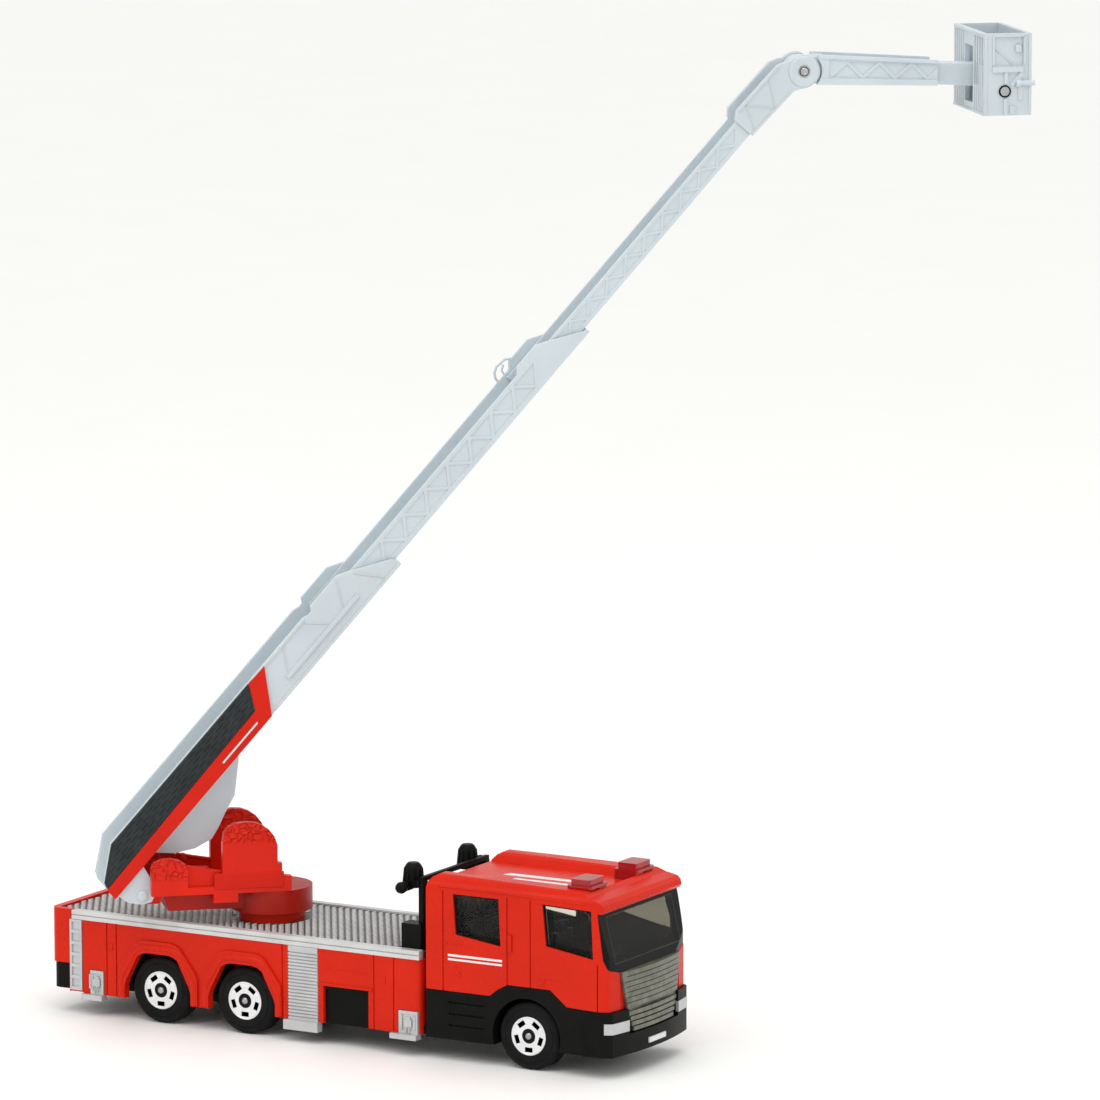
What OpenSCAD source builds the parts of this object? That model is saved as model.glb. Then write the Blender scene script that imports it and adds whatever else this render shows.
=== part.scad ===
// Toy ladder fire engine: six-wheel truck, slewing turntable, three-section ladder, tip arm and rescue basket.
// Millimetres. +X runs towards the cab, +Y to the truck's left, +Z up.
// Sizes along the truck are counted from the rearmost axle and from the ground, then moved to the datum.

/* [Part] */
// Which sub-part to draw

/* [Datum] */
// Distance from the rearmost axle to the origin
datum_x = 45; // [0:1:90]
// Height of the flat chassis underside above the ground
datum_z = 3.9; // [3:0.1:6]

/* [Body] */
// Half width of the body over its side walls
half_w = 14; // [12:0.1:16]
// Rear end of the body
rear_x = -22.6; // [-26:0.1:-16]
// Front end of the red rear body
rear_front_x = 53.8; // [48:0.1:58]
// Wall thickness of the castings
wall = 1.2; // [0.8:0.1:2]
// Top of the tread plate
deck_z = 18.4; // [15:0.1:22]
// Top of the side rails of the deck
rail_z = 18.8; // [15:0.1:22]
// Underside of the side rails
rail_low_z = 17.2; // [14:0.1:20]

/* [Wheels] */
// Position of the second rear axle
mid_axle_x = 17.5; // [14:0.1:22]
// Position of the front axle
front_axle_x = 75; // [60:0.5:90]
// Tyre radius
tyre_r = 6; // [5:0.1:8]
// Tyre width
tyre_w = 4; // [3:0.1:5]
// Outer face of the wheels
wheel_y = 13.2; // [12:0.1:14]
// Radius of the bright wheel cover
cover_r = 3.4; // [2:0.1:4]
// Axle radius
axle_r = 0.6; // [0.4:0.05:0.8]

/* [Cab] */
// Rear wall of the cab
cab_rear_x = 55; // [53:0.1:60]
// Foremost point of the cab
cab_front_x = 92.3; // [88:0.1:98]
// Roof height between the roof rails
roof_z = 31; // [28:0.1:34]
// Height of the roof rails
roof_rail_z = 32.6; // [30:0.1:35]

/* [Turntable] */
// Distance from the rearmost axle to the slewing axis
slew_x = 15; // [8:0.1:24]
// Slewing angle drawn, counted from straight ahead
slew_rest = 42; // [0:1:180]
// Radius of the round turntable plate
disc_r = 7.2; // [5:0.1:10]
// Underside of the turntable plate
disc_z = 20.2; // [19:0.1:22]
// Top of the turntable plate and underside of the platform
plat_z = 24.4; // [22:0.1:26]
// Top of the platform
plat_top_z = 25.7; // [24:0.1:28]
// Height of the side towers
tower_z = 37; // [32:0.1:40]

/* [Ladder] */
// Elevation drawn, counted from level
elev_rest = 48.3; // [4:0.1:75]
// Distance of the elevation axis behind the slewing axis
pivot_s = 23.9; // [16:0.1:30]
// Height of the elevation axis above the ground
pivot_z = 24.1; // [20:0.1:28]
// Half width of the lowest ladder section
base_hw = 4.9; // [4:0.05:6]
// Half width of the middle section
mid_hw = 4; // [3:0.05:5]
// Half width of the top section
top_hw = 3.2; // [2:0.05:4]
// Distance from the elevation axis to the elbow axis
elbow_x = 185.7; // [150:0.1:200]
// Height of the elbow axis over the ladder's own base line
elbow_z = 5.6; // [4:0.1:8]
// Angle of the tip arm below the ladder's direction
arm_drop = 50.9; // [0:0.1:90]

/* [Basket] */
// Distance from the elbow axis to the basket pin, along the arm
pin_reach = 34.9; // [30:0.1:40]
// Drop of the basket pin below the arm's centre line
pin_low = 2.1; // [0:0.1:4]
// Half width of the basket
basket_hw = 10.2; // [8:0.1:12]

/* [Hidden] */
$fn = 48;
axles = [0, mid_axle_x, front_axle_x];
arm_tilt = elev_rest - arm_drop;

// ---- frames and helpers ----

module place() translate([-datum_x, 0, -datum_z]) children();

module turn() place() translate([slew_x, 0, 0]) rotate([0, 0, slew_rest]) children();

module along() turn() translate([-pivot_s, 0, pivot_z]) rotate([0, -elev_rest, 0]) children();

module arm_frame() along() translate([elbow_x, 0, elbow_z]) rotate([0, arm_drop, 0]) children();

module basket_frame() arm_frame() translate([pin_reach, 0, -pin_low]) rotate([0, arm_tilt, 0]) children();

// a profile drawn in X and Z, given thickness from y0 to y1
module slab(y0, y1) translate([0, y1, 0]) rotate([90, 0, 0]) linear_extrude(y1 - y0) children();

// a profile drawn in Y and Z, given length from x0 to x1
module bar(x0, x1) translate([x0, 0, 0]) rotate([90, 0, 90]) linear_extrude(x1 - x0) children();

module block(x0, x1, y0, y1, z0, z1) translate([x0, y0, z0]) cube([x1 - x0, y1 - y0, z1 - z0]);

// a rod along Y
module rod(r, y0, y1) translate([0, y0, 0]) rotate([-90, 0, 0]) cylinder(r = r, h = y1 - y0);

// side = -1 is the truck's right, +1 its left
module sided(side) mirror([0, side < 0 ? 1 : 0, 0]) children();

// rounded rectangle from (x0,y0) to (x1,y1)
module round_rect(x0, y0, x1, y1, r) {
  translate([x0 + r, y0]) square([x1 - x0 - 2 * r, y1 - y0]);
  translate([x0, y0 + r]) square([x1 - x0, y1 - y0 - 2 * r]);
  for (p = [[x0 + r, y0 + r], [x1 - r, y0 + r], [x0 + r, y1 - r], [x1 - r, y1 - r]])
    translate(p) circle(r);
}

// ---- truck body ----

// outline of the body in plan, with rounded rear corners
module rear_plan() round_rect(rear_x, -half_w, rear_front_x, half_w, 1.5);

// outline of the cab in plan, with a softly bowed front
module cab_plan(inset, front) intersection() {
  round_rect(cab_rear_x - 6 + inset, -half_w + inset, front - inset, half_w - inset, 4 - inset);
  translate([cab_rear_x + inset, -half_w]) square([front - cab_rear_x, 2 * half_w]);
  translate([front - 62 - inset, 0]) circle(62, $fn = 480);
}

// side view of the black lower cab, up to the edge of the red cab
module cab_split() polygon([[50, 0], [50, 12.4], [67.7, 12.4], [69.2, 13.6], [71.2, 14.7],
  [79.7, 14.7], [83, 12.05], [96, 11.6], [96, 0]]);

module chassis_base() color([0.1, 0.1, 0.1]) place() difference() {
  union() {
    // floor plate between the wheels
    block(rear_x + wall + 0.1, 89, -8.4, 8.4, datum_z, datum_z + 1.4);
    block(26, 66, -12.6, 12.6, datum_z, datum_z + 1.4);
    // bearing blocks for the axles
    for (x = axles) block(x - 2.6, x + 2.6, -8.4, 8.4, datum_z, tyre_r + 2);
    // rear bumper, wrapped round the corners
    translate([0, 0, 4.5]) linear_extrude(4.5) intersection() {
      translate([0.35, 0]) rear_plan();
      translate([rear_x - 1, -half_w]) square([4.8, 2 * half_w]);
    }
    // dark lockers showing in the side openings
    for (s = [-1, 1]) sided(s) block(34.2, 43.2, 11, 13.3, datum_z, 10.6);
    // black lower cab with fenders and bumper
    difference() {
      intersection() {
        translate([0, 0, datum_z]) linear_extrude(12) cab_plan(0, cab_front_x + 0.6);
        slab(-half_w - 1, half_w + 1) cab_split();
      }
      block(cab_rear_x - 1, 83.4, -8.4, 8.4, datum_z + 1.4, 16);
      block(83.2, 89.8, -12.4, 12.4, datum_z + 1.4, 16);
      block(cab_rear_x + 1.2, 66, -12.6, 12.6, datum_z + 1.4, 16);
    }
  }
  // front wheel openings
  translate([front_axle_x, 0, tyre_r]) for (s = [-1, 1]) sided(s) {
    rod(tyre_r + 0.7, 8.6, half_w + 1);
    block(-6.5, 6.5, 8.6, half_w + 1, -4, 0);
  }
  for (x = axles) translate([x, 0, tyre_r]) rod(axle_r + 0.07, -9, 9);
  // steps pressed into the skirt
  for (s = [-1, 1], z = [6.3, 8.3, 10.3]) sided(s) block(59.5, 66.5, half_w - 0.3, half_w + 1, z, z + 0.35);
  // recesses of the grille, the lamps and the number plate
  block(91.4, 95, -8.6, 8.6, 7.4, 13);
  for (s = [-1, 1]) sided(s) block(90.2, 95, 8.6, 15, 7.9, 9.9);
  block(cab_front_x + 0.3, 95, -2.9, 2.9, 4.8, 5.8);
  // holes of the base rivets
  for (x = [8.75, 46]) translate([x, 0, 0]) cylinder(r = 0.9, h = 9);
}

// side view of an arch over a rear wheel, counted from the axle and the ground
module arch_outline(foot, shoulder, flat, top) polygon([[-foot, 3], [-foot, shoulder - 0.9], [-foot + 0.35, shoulder + 0.2],
  [-flat - 0.9, top - 0.8], [-flat, top - 0.25], [-flat + 1.1, top], [flat - 1.1, top], [flat, top - 0.25],
  [flat + 0.9, top - 0.8], [foot - 0.35, shoulder + 0.2], [foot, shoulder - 0.9], [foot, 3]]);

module arch_lip(x) translate([x, 0, 0]) intersection() {
  slab(half_w - wall, half_w + 0.45) arch_outline(8.3, 9.6, 3.8, 14.9);
  block(-8.6, 8.6, 0, 20, 4.1, 15);
}

module rear_casting() difference() {
  union() {
    translate([0, 0, 4]) linear_extrude(18.9 - 4) rear_plan();
    for (s = [-1, 1], x = [0, mid_axle_x]) sided(s) arch_lip(x);
    // ledge over the dark side lockers
    for (s = [-1, 1]) sided(s) block(33.3, 44.1, half_w - wall, half_w + 0.2, 10.7, 11.2);
  }
  // hollow from below
  block(rear_x + wall, rear_front_x - wall, -half_w + wall, half_w - wall, 3, rail_low_z - 1);
  block(rear_front_x - 2, rear_front_x + 1, -half_w + wall, half_w - wall, 3, datum_z + 1.5);
  // seat for the deck plate and its rails
  block(rear_x + 1.3, rear_front_x + 1, -12.9, 12.9, rail_low_z, 30);
  for (s = [-1, 1]) sided(s) block(-18.2, rear_front_x + 1, 12.8, 20, rail_low_z, 30);
  // rear wheel openings
  for (x = [0, mid_axle_x]) translate([x, 0, 0]) slab(-half_w - 2, half_w + 2) arch_outline(6.9, 7.2, 3.3, 12.7);
  for (s = [-1, 1]) sided(s) {
    // opening for the dark side locker
    block(34.1, 43.3, 10, half_w + 1, 3, 10.7);
    // pockets for the bright trim
    block(-18.6, -15.9, half_w - 0.5, half_w + 1, 3, rail_low_z);
    block(-14.3, -11.4, half_w - 0.5, half_w + 1, 3, 8.4);
    block(26.9, 33.1, half_w - 0.5, half_w + 1, 3, rail_low_z);
    block(49.3, rear_front_x + 1, half_w - 0.5, half_w + 1, 3, 8.1);
    // panel seams
    for (x = [-10.9, -8.9, 25.6, 44.3, 48.3]) block(x, x + 0.3, half_w - 0.2, half_w + 1, 4, rail_low_z);
  }
  // seams of the rear shutter, and the space of the bumper
  for (z = [10.5, 12.2, 13.9, 15.6]) block(rear_x - 1, rear_x + 0.25, -9, 9, z, z + 0.3);
  block(rear_x - 1, rear_x + 3.9, -half_w - 1, half_w + 1, 3, 9.1);
}

module rear_body() color([0.86, 0.13, 0.09]) place() difference() {
  union() {
    rear_casting();
    // round seat of the turntable
    translate([slew_x, 0, rail_low_z - 1]) cylinder(r = 5.8, h = disc_z - 0.12 - rail_low_z + 1);
    // posts that take the base rivets
    for (x = [8.75, 46]) translate([x, 0, datum_z + 1.5]) cylinder(r = 1.6, h = rail_low_z - 0.9 - datum_z - 1.5);
  }
  translate([slew_x, 0, 0]) cylinder(r = 0.95, h = 30);
  for (x = [8.75, 46]) translate([x, 0, 0]) cylinder(r = 0.6, h = 10);
}

module deck_plate() color([0.72, 0.73, 0.74]) place() difference() {
  union() {
    block(rear_x + 1.35, rear_front_x - 0.2, -12.8, 12.8, rail_low_z, deck_z);
    for (s = [-1, 1]) sided(s) block(-18.1, rear_front_x - 0.2, 12.6, half_w + 0.1, rail_low_z, rail_z);
  }
  for (s = [-1, 1]) sided(s) block(-19, rear_front_x, half_w - 0.15, half_w + 1, 17.9, 18.1);
  translate([slew_x, 0, 0]) cylinder(r = 5.85, h = 30);
}

module turntable_rivet() color([0.6, 0.6, 0.62]) place() translate([slew_x, 0, 0]) {
  translate([0, 0, rail_low_z - 1.6]) cylinder(r = 0.95, h = 22.5 - rail_low_z + 1.6);
  translate([0, 0, 22.5]) cylinder(r = 2, h = 0.7);
  translate([0, 0, rail_low_z - 1.9]) cylinder(r = 1.6, h = 0.9);
}

module base_rivets() color([0.6, 0.6, 0.62]) place() for (x = [8.75, 46]) translate([x, 0, datum_z]) {
  cylinder(r = 0.6, h = 5);
  cylinder(r = 0.9, h = 1.4);
}

// bright trim let into the side walls

module rear_ladder(side) color([0.8, 0.81, 0.82]) place() sided(side) difference() {
  block(-18.5, -16, half_w - 0.45, half_w + 0.2, 4.4, rail_low_z - 0.05);
  for (i = [0:5]) block(-18.1, -16.4, half_w - 0.1, half_w + 1, 5 + i * 2.05, 6.5 + i * 2.05);
}

module locker(side, x0, x1, z1, step0, step1) color([0.8, 0.81, 0.82]) place() sided(side) {
  difference() {
    block(x0, x1, half_w - 0.45, half_w + 0.2, 3.6, z1);
    block(x0 + 0.5, x1 - 0.5, half_w + 0.05, half_w + 1, 4.6, z1 - 0.5);
  }
  block((x0 + x1) / 2 - 0.45, (x0 + x1) / 2 + 0.45, half_w - 0.4, half_w + 0.3, 5.2, z1 - 1);
  block(step0, step1, 13, half_w + 0.8, 3, 3.95);
}

module shutter(side) color([0.8, 0.81, 0.82]) place() sided(side) {
  difference() {
    block(27, 33, half_w - 0.45, half_w + 0.15, 3.6, 17.15);
    for (i = [0:19]) block(26, 34, half_w - 0.1, half_w + 1, 4.5 + i * 0.6, 4.72 + i * 0.6);
  }
  block(26.2, 33.2, 13, half_w + 0.6, 2.2, 3.95);
}

module rear_ladder_right() rear_ladder(-1);
module rear_ladder_left() rear_ladder(1);
module rear_locker_right() locker(-1, -14.2, -11.5, 8.3, -15.8, -11.5);
module rear_locker_left() locker(1, -14.2, -11.5, 8.3, -15.8, -11.5);
module shutter_right() shutter(-1);
module shutter_left() shutter(1);
module front_locker_right() locker(-1, 49.5, 53.3, 8, 48, 53.3);
module front_locker_left() locker(1, 49.5, 53.3, 8, 48, 53.3);

// ---- cab ----

module cab_profile() polygon([[55, 10], [55, 30.2], [55.25, 31.3], [55.9, 32.1], [56.8, 32.6], [80, 32.3], [85.6, 32.25],
  [87.1, 31.4], [89.2, 30.9], [90, 30.3], [90.25, 29.5], [89.8, 28.9], [89.05, 28.9], [91.6, 18.3], [92.3, 18.1],
  [92.3, 10]]);

module cab_hollow_profile() polygon([[56.2, 9], [56.2, 29.2], [57.4, 29.8], [84, 29.8], [87.2, 28.6],
  [87.6, 27.6], [90.2, 18.2], [90.9, 17.6], [90.9, 9]]);

module cab_outer() intersection() {
  slab(-half_w, half_w) cab_profile();
  linear_extrude(40) cab_plan(0, cab_front_x);
  bar(50, 95) round_rect(-half_w, 0, half_w, roof_rail_z, 2.6);
}

module cab_hollow() intersection() {
  slab(-half_w + wall, half_w - wall) cab_hollow_profile();
  linear_extrude(40) cab_plan(wall, cab_front_x);
}

// the region of the wrap-around windscreen in side view
module screen_zone(gap) polygon([[89 + gap, 28.9 - gap], [89.9 + gap, 20.9], [90.5 + gap, 19.4 + gap],
  [91.3, 18.4 + gap], [95, 18.4 + gap], [95, 28.9 - gap]]);

module side_windows(gap) {
  polygon([[60.4 + gap, 29.6 - gap], [69.5 - gap, 29.6 - gap], [69.9 - gap, 21.3 + gap], [60.9 + gap, 22.5 + gap]]);
  polygon([[78.2 + gap, 29.6 - gap], [87.8 - gap, 29.3 - gap], [88.2 - gap, 20.9 + gap], [78.9 + gap, 22.3 + gap]]);
}

module cab_shell() color([0.86, 0.13, 0.09]) place() difference() {
  union() {
    difference() {
      cab_outer();
      cab_hollow();
      // lowered roof between the rails
      bar(50, 86) polygon([[-10.6, 34], [-10.6, roof_rail_z], [-9.6, 32.45], [-8.9, 32.05], [-8.4, 31.5], [-8, roof_z],
        [8, roof_z], [8.4, 31.5], [8.9, 32.05], [9.6, 32.45], [10.6, roof_rail_z], [10.6, 34]]);
    }
    // door handles
    for (s = [-1, 1]) sided(s) block(71.5, 72.2, half_w - 0.1, half_w + 0.35, 20.6, 23.6);
    // bosses that carry the black chassis
    for (s = [-1, 1]) sided(s) block(56, 60, 9, half_w - 1, 12.5, 15);
  }
  translate([0, 0, 0.05]) slab(-half_w - 1, half_w + 1) cab_split();
  slab(-half_w - 1, half_w + 1) side_windows(0);
  slab(-half_w - 1, half_w + 1) screen_zone(0);
  bar(84, 95) round_rect(-11.8, 19.6, 11.8, 28.3, 1);
  // seams of the doors and of the corner panels
  for (s = [-1, 1], x = [58.3, 71.1, 75.7]) sided(s) block(x, x + 0.25, half_w - 0.2, half_w + 1, 12, 30);
  for (s = [-1, 1]) sided(s) block(88.9, 89.1, half_w - 0.4, half_w + 1, 11, 20);
  // opening for the upper grille
  block(91.3, 95, -10.4, 10.4, 11.4, 18.45);
}

module cab_glazing() color([0.16, 0.16, 0.15, 0.75]) place() union() {
  // windscreen
  difference() {
    intersection() {
      cab_outer();
      slab(-half_w, half_w) screen_zone(0.05);
      linear_extrude(40) cab_plan(0.1, cab_front_x);
    }
    cab_hollow();
  }
  for (s = [-1, 1]) sided(s) {
    // side windows, standing in their openings
    slab(half_w - wall - 0.15, half_w - 0.45) side_windows(0.05);
    // strip behind them that joins the panes
    slab(half_w - wall - 0.7, half_w - wall - 0.1) polygon([[57.6, 21], [57.6, 29.6], [84, 29.6],
      [86.4, 28.5], [87.3, 26.6], [87.3, 19.8], [86.5, 19.8], [86, 21]]);
    // and their link to the windscreen
    block(86.5, 87.3, 11.1, 12.6, 19.8, 20.6);
    block(86.5, 90.55, 11.1, 11.7, 19.8, 20.6);
  }
}

module seat(x, y) translate([x, y, 0]) {
  block(-2.4, 2.2, -3, 3, 15.4, 17.6);
  block(-2.4, -1.2, -3, 3, 17.5, 23.6);
  block(-2.3, -1.4, -1.4, 1.4, 23.5, 25.4);
}

module cab_interior() color([0.12, 0.12, 0.12]) place() {
  block(56.3, 89.2, -12, 12, 15.05, 15.5);
  for (y = [-6, 6]) seat(79.5, y);
  block(60, 64.4, -9.5, 9.5, 15.4, 17.6);
  block(60, 61.2, -9.5, 9.5, 17.5, 23.4);
  // dashboard and steering wheel
  block(86.2, 89.3, -11.8, 11.8, 15.4, 18.6);
  translate([85.4, -6, 19.2]) rotate([0, -60, 0]) cylinder(r = 1.9, h = 0.4);
  translate([85.4, -6, 19.2]) rotate([0, 120, 0]) cylinder(r = 0.35, h = 2.2);
}

module grille() color([0.42, 0.42, 0.38]) place() intersection() {
  union() {
    bar(91.4, 91.9) polygon([[-10.3, 18.4], [10.3, 18.4], [8.5, 11.6], [6.4, 7.5], [-6.4, 7.5], [-8.5, 11.6]]);
    // louvres, one bar over the other
    for (i = [0:6]) block(91.8, 94, -10.2 + i * 0.24, 10.2 - i * 0.24, 17.5 - i * 0.93, 18.3 - i * 0.93);
    for (i = [0:3]) block(91.8, 94, -8.3 + i * 0.45, 8.3 - i * 0.45, 10.5 - i * 0.95, 11.2 - i * 0.95);
  }
  translate([cab_front_x + 0.35 - 62, 0, 0]) cylinder(r = 62, h = 40, $fn = 480);
}

module headlamp(side) color([0.93, 0.94, 0.94]) place() sided(side) difference() {
  intersection() {
    block(90.25, 95, 8.65, 14.2, 7.95, 9.85);
    linear_extrude(40) cab_plan(-0.1, cab_front_x + 0.6);
  }
  linear_extrude(40) cab_plan(0.5, cab_front_x + 0.6);
}

module headlamp_right() headlamp(-1);
module headlamp_left() headlamp(1);

module number_plate() color([0.93, 0.94, 0.94]) place() block(cab_front_x + 0.32, cab_front_x + 0.8, -2.85, 2.85, 4.85, 5.75);

module beacon(side) color([0.75, 0.06, 0.06, 0.8]) place() sided(side) translate([83.8, 8.2, 0]) {
  translate([0, 0, roof_z]) linear_extrude(1.5) round_rect(-2.4, -3.1, 2.2, -0.35, 0.5);
  translate([0, 0, 32.35]) linear_extrude(0.5) round_rect(-2.4, -3.1, 2.4, 3.1, 0.6);
  translate([0, 0, 32.8]) linear_extrude(1.1) round_rect(-1.9, -2.6, 1.9, 2.6, 0.5);
}

module beacon_right() beacon(-1);
module beacon_left() beacon(1);

module ladder_rest() color([0.1, 0.1, 0.1]) place() {
  for (s = [-1, 1]) sided(s) {
    block(49.1, 53, 9.4, 12.4, deck_z, 23.1);
    block(52, 52.9, 10.2, 11.4, 23, 30.6);
    block(49.7, 52.2, 8.6, 11.6, 29.4, 30.6);
    translate([49.7, 9.25, 29]) cylinder(r = 1.6, h = 3);
    translate([49.7, 9.25, 32]) intersection() {
      sphere(r = 1.6);
      cylinder(r = 2, h = 1.3);
    }
    block(49.1, 50.5, 10.6, 13.8, 28.9, 30.3);
  }
  block(52.1, 52.9, -11.3, 11.3, 30.5, 31.3);
}

// ---- wheels ----

module axle(x) color([0.6, 0.6, 0.62]) place() translate([x, 0, tyre_r]) {
  rod(axle_r, -wheel_y, wheel_y);
  rod(axle_r - 0.15, -wheel_y - 0.15, wheel_y + 0.15);
}

module wheel(x, side) color([0.08, 0.08, 0.08]) place() sided(side) translate([x, wheel_y, tyre_r])
  rotate([90, 0, 0]) rotate_extrude($fn = 72) polygon([[axle_r, 0], [1.3, 0], [1.3, 0.3], [cover_r, 0.3],
    [cover_r, 0], [4.6, 0], [4.8, 0.15], [5.2, 0.15], [5.4, 0.05], [5.8, 0.3], [tyre_r, 0.75],
    [tyre_r, tyre_w - 0.5], [5.6, tyre_w], [axle_r, tyre_w]]);

module cover(x, side) color([0.9, 0.9, 0.91]) place() sided(side) translate([x, wheel_y - 0.3, tyre_r])
  rotate([-90, 0, 0]) linear_extrude(0.33) difference() {
    circle(cover_r - 0.02);
    circle(1.32);
    for (i = [0:4]) rotate(i * 72 + 18) translate([2.42, 0]) square([0.85, 1.5], center = true);
  }

module axle_rear() axle(axles[0]);
module axle_mid() axle(axles[1]);
module axle_front() axle(axles[2]);
module wheel_rear_right() wheel(axles[0], -1);
module wheel_rear_left() wheel(axles[0], 1);
module wheel_mid_right() wheel(axles[1], -1);
module wheel_mid_left() wheel(axles[1], 1);
module wheel_front_right() wheel(axles[2], -1);
module wheel_front_left() wheel(axles[2], 1);
module cover_rear_right() cover(axles[0], -1);
module cover_rear_left() cover(axles[0], 1);
module cover_mid_right() cover(axles[1], -1);
module cover_mid_left() cover(axles[1], 1);
module cover_front_right() cover(axles[2], -1);
module cover_front_left() cover(axles[2], 1);

// ---- turntable, drawn with +X towards the ladder's tip ----

module turntable_disc() color([0.8, 0.1, 0.07]) turn() difference() {
  union() {
    translate([0, 0, disc_z]) cylinder(r = disc_r, h = plat_z - disc_z);
    slab(-4.2, 4.2) polygon([[-20.2, plat_z], [-19.2, 21.1], [-5, 21.1], [-5, plat_z]]);
  }
  cylinder(r = 1, h = 30);
  translate([0, 0, 22.35]) cylinder(r = 2.4, h = 9);
  // well for the ladder's fin
  block(-18.4, -2, -1.7, 1.7, 21.3, 30);
  block(-18.4, -7.6, -1.7, 1.7, 20, 30);
}

module tower(y0, y1) slab(y0, y1) polygon([[-10, plat_z], [-10, 33.5], [-9.7, 35.3], [-8.9, 36.3], [-7.8, 36.8],
  [-6, tower_z], [-4.4, 36.9], [-3, 36.4], [-1.6, 35.4], [-0.7, 34.2], [-0.2, 32.7], [-0.2, 29.5], [0.6, 29.5],
  [0.6, 27.3], [2.3, 27.1], [2.3, plat_z]]);

module turntable_frame() color([0.86, 0.13, 0.09]) turn() difference() {
  union() {
    // platform
    block(-19.6, 2.3, -disc_r, disc_r, plat_z, plat_top_z);
    for (s = [-1, 1]) sided(s) {
      tower(5.75, disc_r);
      // console with rounded top
      slab(5.75, disc_r) polygon([[-22.6, plat_z], [-22.7, 29.4], [-22.1, 30.4], [-20.8, 30.9], [-19.2, 31],
        [-17.6, 30.6], [-16.5, 29.8], [-16.2, 29], [-16.2, plat_z]]);
      // bracket under the platform edge
      block(-11.6, -7.3, 5.3, disc_r, 22.8, plat_z + 0.05);
      // walls along the well, and the ears for the elevation pin
      slab(1.8, 4) polygon([[-23.9, 22.5], [-20.6, 22.5], [-20.3, plat_z + 0.05], [-11, plat_z + 0.05], [-11, 27.4],
        [-17.6, 27.4], [-21, 25.8], [-23.9, 25.8]]);
      translate([-pivot_s, 0, pivot_z]) rod(1.68, 1.8, 4);
    }
    // control lever on the left
    translate([-14.9, 6.3, plat_top_z]) cylinder(r = 0.4, h = 2.6);
    translate([-14.9, 6.3, 28.5]) sphere(r = 0.85);
  }
  // opening over the well and the rivet
  block(-18.4, 3, -1.7, 1.7, 20, 30);
  translate([0, 0, 20]) cylinder(r = 2.5, h = 9);
  translate([-pivot_s, 0, pivot_z]) rod(0.75, -6, 6);
}

module elevation_pin() color([0.76, 0.8, 0.82]) turn() translate([-pivot_s, 0, pivot_z]) rod(0.75, -5, 5);

// ---- ladder, drawn along +X from the elevation axis ----

module ladder_base() color([0.76, 0.8, 0.82]) along() difference() {
  union() {
    for (s = [-1, 1]) sided(s) {
      slab(base_hw - 0.75, base_hw) polygon([[-3.3, 3.5], [-3.2, 5.9], [-2.5, 6.9], [3.5, 10.6], [55.4, 10.6],
        [56.4, 10.2], [57.2, 10.2], [57.8, 11], [64.8, 11], [67, 9.7], [73.4, 5.3], [73.9, 4.4], [73.9, 3.5]]);
      // lug of the elevation pin
      slab(base_hw - 0.75, base_hw) polygon([[-2.7, 3.6], [-2.5, 1.3], [-1.1, -1], [0.3, -1.9], [1.8, -1.5],
        [3.3, 1], [4.2, 3.6]]);
      // raised rail on the flank
      block(45.7, 64.8, base_hw - 0.1, base_hw + 0.35, 5.5, 6.2);
    }
    block(-3.1, 73.9, -base_hw + 0.1, base_hw - 0.1, 3.5, 4.4);
    // fin that drops into the turntable's well
    slab(-1.2, 1.2) polygon([[6.3, 3.6], [9.3, -0.3], [12.2, -2.5], [15.4, -3.7], [17.6, -3.3], [20.4, -2.5],
      [23.9, -1.7], [29.3, 2.05], [30.4, 3.6]]);
  }
  rod(0.8, -6, 6);
}

module panel(side) color([0.86, 0.13, 0.09]) along() sided(side) slab(base_hw, base_hw + 0.45)
  polygon([[-3.4, 3.5], [-3.2, 5.7], [37.7, 6.4], [40.5, 10.5], [44.6, 10.4], [38.8, 3.5]]);

module tread(side) color([0.13, 0.14, 0.14]) along() sided(side) difference() {
  slab(base_hw, base_hw + 0.4) polygon([[-2.9, 5.8], [-2.5, 6.9], [3.5, 10.5], [40.4, 10.5], [37.6, 6.5]]);
  for (i = [0:5], k = [0:14]) translate([-1.2 + k * 2.7 + (i % 2) * 1.35, base_hw + 0.4, 6.75 + i * 0.65])
    cube([1.7, 0.2, 0.22], center = true);
}

module panel_right() panel(-1);
module panel_left() panel(1);
module tread_right() tread(-1);
module tread_left() tread(1);

// sunk fields that leave a zig-zag of ribs flush with the wall, from x0 to x1
module lattice(x0, count, pitch, y0, y1, z0, z1, rib) slab(y0, y1) for (i = [0:count - 1])
  translate([x0 + i * pitch, 0]) {
    polygon([[rib, z0], [pitch - rib, z0], [pitch / 2, z1 - rib]]);
    polygon([[pitch / 2 + rib, z1], [pitch * 1.5 - rib, z1], [pitch, z0 + rib]]);
  }

module ladder_mid() color([0.76, 0.8, 0.82]) along() difference() {
  union() {
    for (s = [-1, 1]) sided(s) slab(mid_hw - 0.65, mid_hw) polygon([[58, 4.6], [58, 9.4], [112.2, 9.4], [113.3, 10.4],
      [118.4, 10.4], [120.6, 9], [125.8, 5.4], [126.4, 4.6]]);
    block(58, 126.4, -mid_hw + 0.1, mid_hw - 0.1, 4.6, 5.35);
  }
  for (s = [-1, 1]) sided(s) lattice(60, 9, 5.9, mid_hw - 0.14, mid_hw + 0.5, 5.5, 8.7, 0.4);
}

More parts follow.
